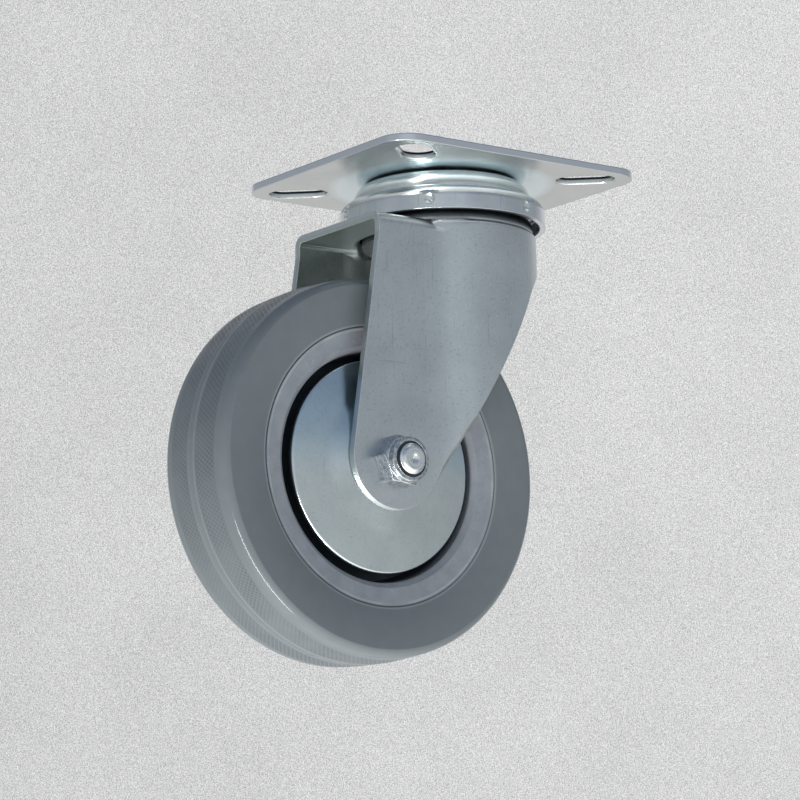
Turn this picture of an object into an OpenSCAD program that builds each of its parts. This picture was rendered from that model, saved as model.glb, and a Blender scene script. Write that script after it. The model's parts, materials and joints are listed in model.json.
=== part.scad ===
// Swivel plate castor with a grey rubber wheel in a pressed steel fork.
// Origin: on the swivel axis, on the upper face of the top plate. +Z is up.
// The wheel trails towards -X and its axle runs along Y.

/* [Wheel] */
// Outside diameter of the tyre
wheel_diameter = 125; // [115:1:200]
// Width of the tyre over its side walls
tyre_width = 36; // [24:0.5:50]
// Radius of the tyre's rounded shoulders
tyre_shoulder_radius = 4; // [2:0.5:8]
// Rise of the tread from its edge to the middle
tread_crown = 0.5; // [0.2:0.1:2]
// Depth of the tyre's side wall, from the tread to the rim
tyre_side_depth = 17.1; // [14:0.1:22]
// Width of the rim where it meets the tyre
rim_width = 33.6; // [22:0.2:48]
// Width of the rim's face, from the tyre to the mouth of its recess
rim_face_width = 7.9; // [6:0.1:10]
// Width of the rim at the mouth of the recess
rim_mouth_width = 31.4; // [20:0.2:44]
// Radius on the edge of that mouth
rim_mouth_radius = 1.8; // [0.4:0.1:3]
// How much narrower the recess is at its bottom
rim_recess_taper = 1.5; // [0.5:0.1:3]
// Thickness of the rim's web
web_thickness = 9; // [5:0.5:16]
// Diameter of the hub at its ends
hub_diameter = 35; // [32:0.2:44]
// Diameter of the hub where it joins the web
hub_root_diameter = 40; // [36:0.2:52]
// Length of the hub
hub_length = 35.6; // [30:0.2:40]
// Number of ribs on each side of the web
rib_count = 8; // [0:1:16]
// Thickness of a rib
rib_thickness = 3; // [1.5:0.5:6]
// Height of a rib above the web
rib_height = 6; // [2:0.5:9]
// Length of a rib, from the end of the hub outwards
rib_length = 9; // [6:0.5:14]
// Height of the key that holds the tyre on the rim
tyre_key_height = 3; // [1:0.5:6]
// Width of that key
tyre_key_width = 14; // [6:0.5:20]

/* [Wheel bearings] */
// Outside diameter of a bearing
bearing_outer_diameter = 30; // [26:0.5:32]
// Width of a bearing
bearing_width = 9; // [7:0.5:10]
// Diameter of the circle through the bearing's balls
bearing_ball_circle = 20; // [19:0.1:21]
// Diameter of a bearing ball
bearing_ball_diameter = 4.8; // [4:0.1:5]
// Number of balls in a bearing
bearing_ball_count = 8; // [6:1:10]
// Thickness of each bearing ring beside its groove
bearing_ring_wall = 2.5; // [2:0.1:3]
// Depth of the groove in each bearing ring
bearing_groove_depth = 1; // [0.5:0.1:1.5]
// Thickness of a bearing shield
shield_thickness = 0.5; // [0.3:0.1:1]
// Gap between a shield and the inner ring
shield_gap = 0.4; // [0.2:0.1:1]
// How far a bearing stands out of the hub
bearing_stand_out = 0.4; // [0:0.1:1]
// Diameter of the hub's bore between the bearings
hub_bore_diameter = 26; // [20:0.5:27]
// Wall of the tube between the bearings' inner rings
inner_tube_wall = 2.5; // [1:0.1:3]

/* [Top plate] */
// Length of the plate along the trail
plate_length = 102; // [85:0.5:150]
// Width of the plate along the axle
plate_width = 91; // [80:0.5:130]
// Thickness of the plate
plate_thickness = 2.3; // [1.5:0.1:5]
// Radius of the plate's corners
plate_corner_radius = 10; // [3:0.5:16]
// Distance from a slot's centre to the plate's front or back edge
slot_front_inset = 15.5; // [13:0.1:17]
// Distance from a slot's centre to the plate's side edge
slot_side_inset = 12.2; // [11:0.1:14]
// Width of a bolt slot
slot_width = 11; // [6:0.5:13]
// Length of a bolt slot over its round ends
slot_length = 20; // [14:0.5:24]
// Angle of a bolt slot from the plate's length
slot_angle = 41; // [0:1:90]

/* [Swivel head] */
// Sheet thickness of the race housing
housing_thickness = 2; // [1:0.1:4]
// Outside diameter of the race housing
housing_diameter = 69.5; // [64:0.5:90]
// Depth of the housing's lip below the plate's upper face
housing_depth = 17.8; // [16:0.1:24]
// Depth of the housing's shoulder below the plate
shoulder_depth = 6.6; // [6:0.1:9]
// Radius of the housing's shoulder
shoulder_radius = 4.5; // [3:0.1:8]
// Diameter of the upper ball circle
upper_ball_circle = 49; // [40:0.5:56]
// Diameter of an upper ball
upper_ball_diameter = 6; // [4:0.1:6.5]
// Number of upper balls
upper_ball_count = 24; // [12:1:30]
// Diameter of the lower ball circle
lower_ball_circle = 50.4; // [40:0.2:54]
// Diameter of a lower ball
lower_ball_diameter = 5; // [3.5:0.1:6]
// Number of lower balls
lower_ball_count = 30; // [12:1:40]
// How much larger a race's radius is than its ball's
race_slack = 0.6; // [0.3:0.1:1.2]
// Depth of the lower ball row below the plate's upper face
lower_row_depth = 18.6; // [17:0.1:22]
// Height of the dome's hub above the middle of its groove
dome_hub_height = 1; // [0.2:0.1:1.5]
// Hole in the dome around the king pin
dome_hole_diameter = 24; // [18:0.5:34]
// Sheet thickness of the lower race
lower_race_thickness = 2; // [1:0.1:3]
// Outside diameter of the lower race
lower_race_diameter = 54.4; // [48:0.2:58]
// Height of the lower race's hub above the middle of its groove
lower_hub_height = 1.2; // [0.5:0.1:1.5]
// Number of crimps around the housing
crimp_count = 6; // [0:1:12]
// Angle of the first crimp
crimp_start_angle = 46; // [0:1:359]
// Radius of a crimp
crimp_radius = 2.4; // [1:0.1:4]
// Depth of a crimp
crimp_depth = 0.9; // [0.2:0.1:1.2]
// Diameter of the king pin
pin_diameter = 16; // [10:0.5:20]
// Diameter of the king pin's flush head
pin_head_diameter = 21; // [17:0.5:30]
// Diameter of the king pin's lower end
pin_end_diameter = 11; // [8:0.5:14]
// Diameter of the washer on the king pin
pin_washer_diameter = 24; // [18:0.5:34]
// Thickness of that washer
pin_washer_thickness = 1.6; // [1:0.1:3]
// Diameter of the head formed on the king pin's lower end
pin_rivet_diameter = 18; // [14:0.5:24]
// Height of that head
pin_rivet_height = 3; // [1.5:0.1:5]

/* [Fork] */
// Height between the tyre and the lower end of the king pin
wheel_clearance = 17.1; // [14:0.1:60]
// Distance of the axle behind the swivel axis
trail = 39.2; // [30:0.1:50]
// Sheet thickness of the fork
fork_thickness = 2.5; // [1.5:0.1:4]
// Width over the fork's legs
fork_width = 47.5; // [46:0.5:70]
// Diameter of the fork's round hood
hood_diameter = 62.8; // [62:0.2:66]
// Radius of the hollow blend from the hood to each leg
hood_blend_radius = 20; // [5:0.5:40]
// Depth of the crown below the plate's upper face
crown_depth = 20.4; // [19:0.1:30]
// Distance from the swivel axis to the crown's front edge
crown_reach = 43.8; // [36:0.2:60]
// Bend radius between crown and leg
leg_bend_radius = 4; // [2.8:0.1:8]
// Radius where the crown turns up into the raised race
crown_root_radius = 0.5; // [0.2:0.1:1]
// Radius on the upper edge of the hood
hood_edge_radius = 1.6; // [0.5:0.1:2.4]
// Radius of a leg's lower end
leg_end_radius = 16.8; // [14:0.1:30]
// How far the centre of that radius lies ahead of the axle
leg_end_shift = 0.4; // [0:0.1:3]
// How far the centre of that radius lies above the axle
leg_end_lift = 1.7; // [0:0.1:3]
// Lean of a leg's front edge from the vertical
leg_front_lean = 9.2; // [0:0.2:15]
// Slope of a leg's rear edge from the horizontal
leg_rear_slope = 59.4; // [50:0.2:75]
// Depth of the hood's back edge below the plate's upper face
back_edge_depth = 31; // [28:0.5:50]
// Radius between the hood's back edge and the legs' rear edges
back_edge_radius = 25; // [2:0.5:30]

/* [Axle] */
// Diameter of the axle bolt
axle_diameter = 10; // [8:0.5:11]
// Width across the flats of bolt head and nut
hex_width = 15; // [14.8:0.1:18]
// Angle by which the nut and the bolt's head are turned about the axle
hex_angle = 8; // [0:1:59]
// Height of the bolt's head
bolt_head_height = 6.4; // [4:0.1:9]
// Height of the nut's hexagon
nut_hex_height = 6; // [4:0.1:7]
// Height of the nut with its collar
nut_height = 8.4; // [7.2:0.1:12]
// Diameter of the nut's collar
nut_collar_diameter = 14.6; // [13.6:0.1:14.8]
// Diameter of the opening in the nut's collar
nut_mouth_diameter = 11.8; // [11.2:0.1:13]
// Thickness of the nylon ring in the nut
insert_thickness = 1.7; // [1:0.1:2]
// Wall of the nut's collar
collar_wall = 0.8; // [0.5:0.1:1.2]
// How far the bolt's end stands out of the nut
bolt_stick_out = 2; // [0:0.1:4]
// Chamfer on the bolt's end
bolt_chamfer = 1.3; // [0.3:0.1:2]
// Diameter of the dimple in the bolt's end
bolt_dimple_diameter = 3.4; // [1:0.1:5]
// Depth of that dimple
bolt_dimple_depth = 1.2; // [0.3:0.1:2]
// Sheet thickness of the thread guards
guard_thickness = 1; // [0.6:0.1:2]
// Gap between a thread guard and the mouth of the rim's recess
guard_gap = 2.8; // [1.5:0.1:6]
// Diameter of the flat middle of a thread guard
guard_flat_diameter = 29; // [24:0.5:40]
// Diameter of the raised middle of a thread guard
guard_boss_diameter = 45; // [40:0.5:60]
// Distance from the fork's leg to the foot of that raised middle
guard_boss_drop = 3.4; // [3:0.1:6]
// Distance from the fork's leg to the edge of the thread guard
guard_edge_drop = 5.6; // [4:0.1:9]
// Depth of the lip turned in at a thread guard's edge
guard_lip_depth = 2.2; // [1.2:0.1:4]
// Outside diameter of a spacer washer
spacer_diameter = 16; // [14:0.5:16.5]

/* [Fits] */
// Play between parts that sit still on each other
seat_play = 0.02; // [0:0.01:0.05]
// Play between parts that turn against each other
running_play = 0.05; // [0.02:0.01:0.08]
// Play of the axle bolt in the legs, guards and washers
bolt_hole_play = 0.25; // [0.1:0.05:0.5]

/* [Hidden] */
$fn = 96;
overrun = 1;
wheel_r = wheel_diameter / 2;
rim_r = wheel_r - tyre_side_depth;
rim_mouth_r = rim_r - rim_face_width;
axle_r = axle_diameter / 2;
outer_y = fork_width / 2;
inner_y = outer_y - fork_thickness;
hood_r = hood_diameter / 2;
diagonal = sqrt(1 / 2);

// Swivel head, from the plate down. Each race is an arc a little larger than its ball,
// and the ball touches it halfway between level and upright.
under_plate = -plate_thickness;
race_shift = (race_slack - running_play) * diagonal;
upper_ball_r = upper_ball_diameter / 2;
upper_race_r = upper_ball_r + race_slack;
bead_r = upper_race_r + housing_thickness;
bead_x = upper_ball_circle / 2 - race_shift;
bead_z = under_plate - bead_r;
upper_row_z = bead_z + race_shift;
groove_x = upper_ball_circle / 2 + race_shift;
groove_z = upper_row_z + race_shift;
shoulder_x = housing_diameter / 2 - shoulder_radius;
shoulder_z = under_plate - shoulder_depth - shoulder_radius;
lower_ball_r = lower_ball_diameter / 2;
lower_race_r = lower_ball_r + race_slack;
dome_r = lower_race_r + fork_thickness;
dome_x = lower_ball_circle / 2 - race_shift;
dome_z = -lower_row_depth - race_shift;
dome_hub_z = groove_z + dome_hub_height;
cup_x = lower_ball_circle / 2 + race_shift;
cup_z = -lower_row_depth + race_shift;
cup_hub_z = cup_z + lower_hub_height;
pin_r = pin_diameter / 2;
pin_end_r = pin_end_diameter / 2;
pin_washer_z = cup_hub_z - lower_race_thickness - pin_washer_thickness;
pin_end_z = pin_washer_z - pin_rivet_height;

// The axle lies below the swivel head by the tyre's radius and a clearance.
axle_z = pin_end_z - wheel_clearance - wheel_r;

// A curve that runs into a straight or another curve bites this far into it,
// so that they meet at a fine crease and not in a knife edge.
edge_bite = 0.02;

// Outline of the fork from above: a round hood, hollow blends and two straight legs
blend_y = outer_y + hood_blend_radius - edge_bite;
blend_x = -sqrt(pow(hood_r + hood_blend_radius - edge_bite, 2) - pow(blend_y, 2));

// Outline of the fork from the side: leg end, front edge, rear edge and back edge
end_x = -trail + leg_end_shift;
end_z = axle_z + leg_end_lift;
foot_r = leg_end_radius - edge_bite;
front_foot = [end_x - foot_r * cos(leg_front_lean), end_z + foot_r * sin(leg_front_lean)];
front_knee = [-crown_reach, front_foot[1] + (-crown_reach - front_foot[0]) / tan(leg_front_lean)];
rear_foot = [end_x + foot_r * sin(leg_rear_slope), end_z - foot_r * cos(leg_rear_slope)];
rear_knee = [rear_foot[0] + (-back_edge_depth - rear_foot[1]) / tan(leg_rear_slope), -back_edge_depth];
leg_bottom = end_z - leg_end_radius;
fork_front = trail + leg_end_radius + overrun;
bend_y = outer_y - leg_bend_radius;
bend_z = -crown_depth - leg_bend_radius;

// Axle stack, as distances from the middle of the wheel
bearing_out_y = hub_length / 2 + bearing_stand_out;
bearing_in_y = bearing_out_y - bearing_width;
bearing_mid_y = bearing_out_y - bearing_width / 2;
bearing_r = bearing_outer_diameter / 2;
bearing_groove_r = bearing_ball_diameter / 2 + running_play;
outer_shoulder_r = bearing_r - bearing_ring_wall - bearing_groove_depth;
inner_shoulder_r = axle_r + bearing_ring_wall + bearing_groove_depth;
guard_in_y = inner_y - guard_thickness;
nut_top_y = outer_y + nut_height;
bolt_end_y = nut_top_y + bolt_stick_out;

// Solid of revolution about the axle. The profile is drawn as radius and distance along +Y.
module on_axle() {
    translate([-trail, 0, axle_z])
        rotate([-90, 0, 0])
            rotate_extrude()
                children();
}

// Anything drawn for the far side, +Y, set on the near side
module near_side() {
    mirror([0, 1, 0])
        children();
}

// Band of a profile, from one radius to another and from one height to another
module band(from_r, to_r, from_h, to_h) {
    translate([from_r, from_h])
        square([to_r - from_r, to_h - from_h]);
}

// Disc for an arc of a profile
module arc_disc(x, h, r) {
    translate([x, h])
        circle(r = r);
}

// Ring of balls in a level plane
module ball_row(count, circle, diameter) {
    for (i = [0 : count - 1])
        rotate([0, 0, i * 360 / count])
            translate([circle / 2, 0, 0])
                sphere(d = diameter);
}

// Flat plate outline with round corners
module plate_outline() {
    corner_x = plate_length / 2 - plate_corner_radius;
    corner_y = plate_width / 2 - plate_corner_radius;
    square([plate_length, 2 * corner_y], center = true);
    square([2 * corner_x, plate_width], center = true);
    for (x = [-corner_x, corner_x], y = [-corner_y, corner_y])
        translate([x, y])
            circle(r = plate_corner_radius);
}

// Slot with round ends along X
module slot_outline() {
    reach = (slot_length - slot_width) / 2;
    square([2 * reach, slot_width], center = true);
    for (x = [-reach, reach])
        translate([x, 0])
            circle(d = slot_width);
}

// Top plate with four slots that point at the swivel axis
module top_plate() {
    slot_x = plate_length / 2 - slot_front_inset;
    slot_y = plate_width / 2 - slot_side_inset;
    color("LightSteelBlue")
        difference() {
            translate([0, 0, under_plate])
                linear_extrude(plate_thickness)
                    difference() {
                        plate_outline();
                        for (sx = [-1, 1], sy = [-1, 1])
                            translate([sx * slot_x, sy * slot_y])
                                rotate(sx * sy * slot_angle)
                                    slot_outline();
                    }
            translate([0, 0, under_plate])
                cylinder(h = plate_thickness, r1 = pin_r + seat_play, r2 = pin_head_diameter / 2 + seat_play);
            translate([0, 0, under_plate - overrun])
                cylinder(h = plate_thickness + 2 * overrun, r = pin_r + seat_play);
        }
}

// Area under the housing's outer face, less a wall
module housing_area(wall, bottom) {
    band(0, bead_x, bottom, bead_z + bead_r - wall);
    band(0, bead_x + bead_r - wall, bottom, bead_z);
    arc_disc(bead_x, bead_z, bead_r - wall);
    band(0, shoulder_x, bottom, shoulder_z + shoulder_radius - wall);
    band(0, shoulder_x + shoulder_radius - wall, bottom, shoulder_z);
    arc_disc(shoulder_x, shoulder_z, shoulder_radius - wall);
}

// Pressed bell under the plate: a bead that carries the upper balls, a shoulder and a skirt
module race_housing() {
    color("Silver")
        difference() {
            rotate_extrude()
                difference() {
                    housing_area(0, -housing_depth);
                    housing_area(housing_thickness, -housing_depth - overrun);
                    band(0, pin_r + seat_play, -housing_depth, overrun);
                }
            for (i = [0 : 1 : crimp_count - 1])
                rotate([0, 0, crimp_start_angle + i * 360 / crimp_count])
                    translate([housing_diameter / 2 + crimp_radius - crimp_depth, 0, shoulder_z - crimp_radius / 2])
                        sphere(r = crimp_radius);
        }
}

// Upper row of balls
module upper_balls() {
    color("Gainsboro")
        translate([0, 0, upper_row_z])
            ball_row(upper_ball_count, upper_ball_circle, upper_ball_diameter);
}

// Lower row of balls
module lower_balls() {
    color("Gainsboro")
        translate([0, 0, -lower_row_depth])
            ball_row(lower_ball_count, lower_ball_circle, lower_ball_diameter);
}

// King pin: flush head, shank, shoulder on the lower race and a formed head at the bottom
module king_pin() {
    rivet_r = pin_rivet_diameter / 2;
    rivet_sphere = (rivet_r * rivet_r + pin_rivet_height * pin_rivet_height) / 2 / pin_rivet_height;
    color("DarkGray") {
        translate([0, 0, under_plate])
            cylinder(h = plate_thickness, r1 = pin_r, r2 = pin_head_diameter / 2);
        translate([0, 0, cup_hub_z])
            cylinder(h = under_plate - cup_hub_z, r = pin_r);
        translate([0, 0, pin_washer_z])
            cylinder(h = cup_hub_z - pin_washer_z, r = pin_end_r);
        intersection() {
            translate([0, 0, pin_end_z])
                cylinder(h = pin_rivet_height, r = rivet_r);
            translate([0, 0, pin_end_z + rivet_sphere])
                sphere(r = rivet_sphere);
        }
    }
}

// Area under the lower race's upper face, less a wall
module cup_area(wall, bottom) {
    hub_r = cup_x - lower_race_r - wall;
    band(0, hub_r, bottom, cup_hub_z - wall);
    difference() {
        band(0, lower_race_diameter / 2, bottom, cup_z);
        arc_disc(cup_x, cup_z, lower_race_r + wall);
        band(cup_x, lower_race_diameter / 2, cup_z - lower_race_r - wall, cup_z + overrun);
    }
}

// Pressed disc below the lower balls, held on the king pin
module lower_race() {
    bottom = cup_z - lower_race_r - lower_race_thickness;
    color("Silver")
        rotate_extrude()
            difference() {
                cup_area(0, bottom);
                cup_area(lower_race_thickness, bottom - overrun);
                band(0, pin_end_r + seat_play, bottom - overrun, cup_hub_z + overrun);
            }
}

// Washer between the lower race and the king pin's formed head
module pin_washer() {
    color("DarkGray")
        rotate_extrude()
            band(pin_end_r + seat_play, pin_washer_diameter / 2, pin_washer_z, pin_washer_z + pin_washer_thickness);
}

// Fork seen from above, below its bends and less a wall: round hood, hollow blends, straight legs
module plan_outline(wall) {
    half = outer_y - wall;
    translate([-fork_front, -half])
        square([fork_front, 2 * half]);
    circle(r = hood_r - wall);
    for (m = [0, 1])
        mirror([0, m])
            difference() {
                polygon([[0, 0], [blend_x, blend_y], [blend_x, 0]]);
                translate([blend_x, blend_y])
                    circle(r = hood_blend_radius + wall);
            }
}

// Crown across the legs, above the middle of its bends and less a wall
module crown_section(wall) {
    bend = leg_bend_radius - wall;
    intersection() {
        for (s = [-1, 1])
            translate([s * bend_y, 0])
                circle(r = bend);
        translate([-outer_y, 0])
            square([2 * outer_y, leg_bend_radius]);
    }
    translate([-bend_y, 0])
        square([2 * bend_y, bend]);
}

// Full body of the fork, less a wall
module fork_body(wall, bottom) {
    top = -crown_depth - wall;
    edge = wall > 0 ? 0 : hood_edge_radius;
    translate([0, 0, bottom])
        linear_extrude(bend_z - bottom)
            plan_outline(wall);
    translate([-fork_front, 0, bend_z])
        rotate([90, 0, 90])
            linear_extrude(fork_front)
                crown_section(wall);
    rotate_extrude() {
        band(0, hood_r - wall, bend_z, top - edge);
        band(0, hood_r - wall - edge, bend_z, top);
        if (edge > 0)
            arc_disc(hood_r - edge, top - edge, edge);
    }
}

// Hollow corner between the legs' rear edges and the hood's back edge
module back_corner_outline() {
    run = back_edge_radius * tan(leg_rear_slope / 2);
    middle = rear_knee + [run, -back_edge_radius] + [-edge_bite, edge_bite];
    difference() {
        polygon([rear_knee + [-run, run], rear_knee + [run, 0], middle,
            rear_knee - run * [cos(leg_rear_slope), sin(leg_rear_slope)]]);
        translate(middle)
            circle(r = back_edge_radius);
    }
}

// Outline of the fork from the side
module side_outline() {
    back = hood_r + overrun;
    top = -crown_depth + overrun;
    translate([end_x, end_z])
        circle(r = leg_end_radius);
    back_corner_outline();
    polygon([[end_x, end_z], front_foot, front_knee, [-crown_reach, top], [back, top],
        [back, -back_edge_depth], rear_knee, rear_foot]);
}

// Area under the raised race in the fork's crown, less a wall
module dome_area(wall, bottom) {
    hub_r = groove_x - upper_race_r - wall;
    band(0, hub_r, bottom, dome_hub_z - wall);
    difference() {
        band(0, groove_x - wall, bottom, groove_z);
        arc_disc(groove_x, groove_z, upper_race_r + wall);
    }
    band(0, dome_x, bottom, dome_z + dome_r - wall);
    band(0, dome_x + dome_r - wall, bottom, dome_z);
    arc_disc(dome_x, dome_z, dome_r - wall);
}

// Round edge under the crown where it turns up into the raised race, out to a given radius
module crown_root(to_r) {
    bend = crown_root_radius + fork_thickness;
    root_x = dome_x + dome_r + crown_root_radius;
    root_z = -crown_depth + crown_root_radius;
    difference() {
        band(root_x - bend - edge_bite, min(to_r, root_x), root_z - bend - edge_bite, root_z);
        arc_disc(root_x - edge_bite, root_z - edge_bite, bend);
    }
}

// One-piece pressed fork: crown tab, raised race, round hood and two legs
module fork() {
    crown_bottom = -crown_depth - fork_thickness;
    color("LightSlateGray")
        difference() {
            union() {
                intersection() {
                    fork_body(0, leg_bottom - overrun);
                    translate([0, outer_y + hood_r, 0])
                        rotate([90, 0, 0])
                            linear_extrude(2 * (outer_y + hood_r))
                                side_outline();
                }
                rotate_extrude()
                    dome_area(0, crown_bottom);
            }
            fork_body(fork_thickness, leg_bottom - 2 * overrun);
            rotate_extrude() {
                dome_area(fork_thickness, crown_bottom - overrun);
                crown_root(hood_r - fork_thickness);
            }
            intersection() {
                rotate_extrude()
                    crown_root(crown_reach);
                translate([-crown_reach, -bend_y, crown_bottom - overrun])
                    cube([crown_reach, 2 * bend_y, crown_depth]);
            }
            cylinder(h = 2 * crown_depth, d = dome_hole_diameter, center = true);
            on_axle()
                band(0, axle_r + bolt_hole_play, -outer_y - overrun, outer_y + overrun);
        }
}

// Six-sided prism along Y with chamfered corners on its outer end
module hex_block(from_y, height) {
    hex_r = hex_width / 2 / cos(30);
    corner = hex_r - hex_width / 2;
    translate([-trail, from_y, axle_z])
        rotate([-90, 0, 0])
            intersection() {
                rotate(hex_angle)
                    cylinder(h = height, r = hex_r, $fn = 6);
                rotate_extrude()
                    polygon([[0, 0], [hex_r, 0], [hex_r, height - corner / 2], [hex_width / 2, height], [0, height]]);
            }
}

// Axle bolt: head on the far side, plain end with a chamfer and a centre dimple on the near side
module axle_bolt() {
    color("Silver") {
        hex_block(outer_y, bolt_head_height);
        near_side()
            on_axle()
                difference() {
                    polygon([[0, -outer_y], [axle_r, -outer_y], [axle_r, bolt_end_y - bolt_chamfer],
                        [axle_r - bolt_chamfer, bolt_end_y], [0, bolt_end_y]]);
                    polygon([[0, bolt_end_y - bolt_dimple_depth], [bolt_dimple_diameter / 2, bolt_end_y],
                        [bolt_dimple_diameter / 2, bolt_end_y + overrun], [0, bolt_end_y + overrun]]);
                }
    }
}

// Lock nut: hexagon with a round collar whose lip turns in over the nylon ring
module axle_nut() {
    collar_r = nut_collar_diameter / 2;
    pocket_y = nut_top_y - collar_wall - insert_thickness;
    color("Silver")
        near_side()
            difference() {
                union() {
                    hex_block(outer_y, nut_hex_height);
                    on_axle() {
                        band(0, collar_r, outer_y, nut_top_y - collar_wall);
                        band(0, collar_r - collar_wall, outer_y, nut_top_y);
                        arc_disc(collar_r - collar_wall, nut_top_y - collar_wall, collar_wall);
                    }
                }
                on_axle() {
                    band(0, axle_r + seat_play, outer_y - overrun, pocket_y + overrun);
                    band(0, collar_r - collar_wall, pocket_y, nut_top_y - collar_wall);
                    band(0, nut_mouth_diameter / 2, pocket_y, nut_top_y + overrun);
                }
            }
}

// Nylon ring in the nut's collar
module nut_insert() {
    pocket_y = nut_top_y - collar_wall - insert_thickness;
    color("White")
        near_side()
            on_axle()
                band(axle_r + seat_play, nut_collar_diameter / 2 - collar_wall - seat_play, pocket_y,
                    pocket_y + insert_thickness);
}

// Dished thread guard: flat middle on the leg, raised boss, shallow cone and turned-in lip
module guard() {
    flat_r = guard_flat_diameter / 2;
    boss_r = guard_boss_diameter / 2;
    edge_r = rim_mouth_r - guard_gap;
    foot_y = inner_y - guard_boss_drop;
    edge_y = inner_y - guard_edge_drop;
    hole_r = axle_r + bolt_hole_play;
    on_axle()
        polygon([[hole_r, inner_y], [flat_r, inner_y], [boss_r, foot_y],
            [edge_r - guard_thickness / 2, edge_y], [edge_r, edge_y - guard_thickness / 2],
            [edge_r, edge_y - guard_lip_depth], [edge_r - guard_thickness, edge_y - guard_lip_depth],
            [edge_r - guard_thickness, edge_y - guard_thickness], [boss_r, foot_y - guard_thickness],
            [flat_r, guard_in_y], [hole_r, guard_in_y]]);
}

// Washer between a thread guard and the bearing
module spacer() {
    on_axle()
        band(axle_r + bolt_hole_play, spacer_diameter / 2, bearing_out_y, guard_in_y);
}

// Groove for the balls of a bearing
module bearing_groove() {
    arc_disc(bearing_ball_circle / 2, bearing_mid_y, bearing_groove_r);
}

// Inner ring of a bearing
module inner_ring() {
    on_axle()
        difference() {
            band(axle_r + seat_play, inner_shoulder_r, bearing_in_y, bearing_out_y);
            bearing_groove();
        }
}

// Outer ring of a bearing
module outer_ring() {
    on_axle()
        difference() {
            band(outer_shoulder_r, bearing_r, bearing_in_y, bearing_out_y);
            bearing_groove();
        }
}

// Balls of a bearing
module bearing_balls() {
    translate([-trail, bearing_mid_y, axle_z])
        rotate([-90, 0, 0])
            ball_row(bearing_ball_count, bearing_ball_circle, bearing_ball_diameter);
}

// Shield of a bearing, fixed in the outer ring
module shield() {
    on_axle()
        band(inner_shoulder_r + shield_gap, outer_shoulder_r, bearing_out_y - shield_thickness, bearing_out_y);
}

// Tube that keeps the inner rings apart
module inner_tube() {
    color("DarkGray")
        on_axle()
            band(axle_r + bolt_hole_play, axle_r + bolt_hole_play + inner_tube_wall, -bearing_in_y, bearing_in_y);
}

// Seat of the tyre on the rim: straight sides with a raised key in the middle
module tyre_seat() {
    band(0, rim_r, -rim_width / 2, rim_width / 2);
    band(0, rim_r + tyre_key_height, -tyre_key_width / 2, tyre_key_width / 2);
}

// Tyre: crowned tread, round shoulders and side walls that slope in to the rim
module tyre() {
    half = tyre_width / 2;
    shoulder_r = wheel_r - tread_crown - tyre_shoulder_radius;
    flat = half - tyre_shoulder_radius;
    crown_r = (flat * flat + tread_crown * tread_crown) / 2 / tread_crown;
    color("DimGray")
        on_axle()
            difference() {
                union() {
                    intersection() {
                        band(0, wheel_r, -flat, flat);
                        arc_disc(wheel_r - crown_r, 0, crown_r);
                    }
                    for (s = [-1, 1])
                        arc_disc(shoulder_r, s * flat, tyre_shoulder_radius);
                    polygon([[0, -rim_width / 2], [rim_r, -rim_width / 2], [shoulder_r, -half],
                        [shoulder_r, half], [rim_r, rim_width / 2], [0, rim_width / 2]]);
                }
                tyre_seat();
                band(0, rim_r, -half, half);
            }
}

// Rim: face that slopes in to a deep recess, web with ribs, hub and bearing seats
module wheel_rim() {
    recess_r = rim_mouth_r - rim_recess_taper;
    root_r = hub_root_diameter / 2;
    half_web = web_thickness / 2;
    mouth_y = rim_mouth_width / 2;
    color("Gray")
        difference() {
            union() {
                on_axle()
                    difference() {
                        tyre_seat();
                        for (m = [0, 1])
                            mirror([0, m])
                                polygon([[0, hub_length / 2], [hub_diameter / 2, hub_length / 2], [root_r, half_web],
                                    [recess_r, half_web], [rim_mouth_r, mouth_y - rim_mouth_radius],
                                    [rim_mouth_r + rim_mouth_radius, mouth_y], [rim_r, rim_width / 2],
                                    [rim_r, rim_width], [0, rim_width]]);
                    }
                for (m = [0, 1], i = [0 : 1 : rib_count - 1])
                    mirror([0, m, 0])
                        translate([-trail, half_web, axle_z])
                            rotate([-90, i * 360 / rib_count, 0])
                                translate([hub_diameter / 2, -rib_thickness / 2, 0])
                                    cube([rib_length, rib_thickness, rib_height]);
            }
            on_axle() {
                band(0, hub_bore_diameter / 2, -hub_length, hub_length);
                for (m = [0, 1])
                    mirror([0, m])
                        band(0, bearing_r, bearing_in_y, hub_length);
            }
        }
}

top_plate();
race_housing();
upper_balls();
king_pin();
lower_race();
lower_balls();
pin_washer();
fork();
axle_bolt();
axle_nut();
nut_insert();
color("LightSteelBlue") near_side() guard();  // near_guard
color("LightSteelBlue") guard();  // far_guard
color("Silver") near_side() spacer();  // near_spacer
color("Silver") spacer();  // far_spacer
color("Gainsboro") near_side() inner_ring();  // near_inner_ring
color("Gainsboro") inner_ring();  // far_inner_ring
inner_tube();
tyre();
wheel_rim();
color("Gainsboro") near_side() outer_ring();  // near_outer_ring
color("Gainsboro") outer_ring();  // far_outer_ring
color("Gainsboro") near_side() bearing_balls();  // near_balls
color("Gainsboro") bearing_balls();  // far_balls
color("DarkSlateGray") near_side() shield();  // near_shield
color("DarkSlateGray") shield();  // far_shield
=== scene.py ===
"""Looks of a swivel plate castor: zinc-plated plate, swivel head and fork, and a grey rubber wheel."""
import json
import math

import bmesh
import bpy
from bpy.props import FloatProperty, FloatVectorProperty, IntProperty, PointerProperty
from mathutils import Matrix, Vector

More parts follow.
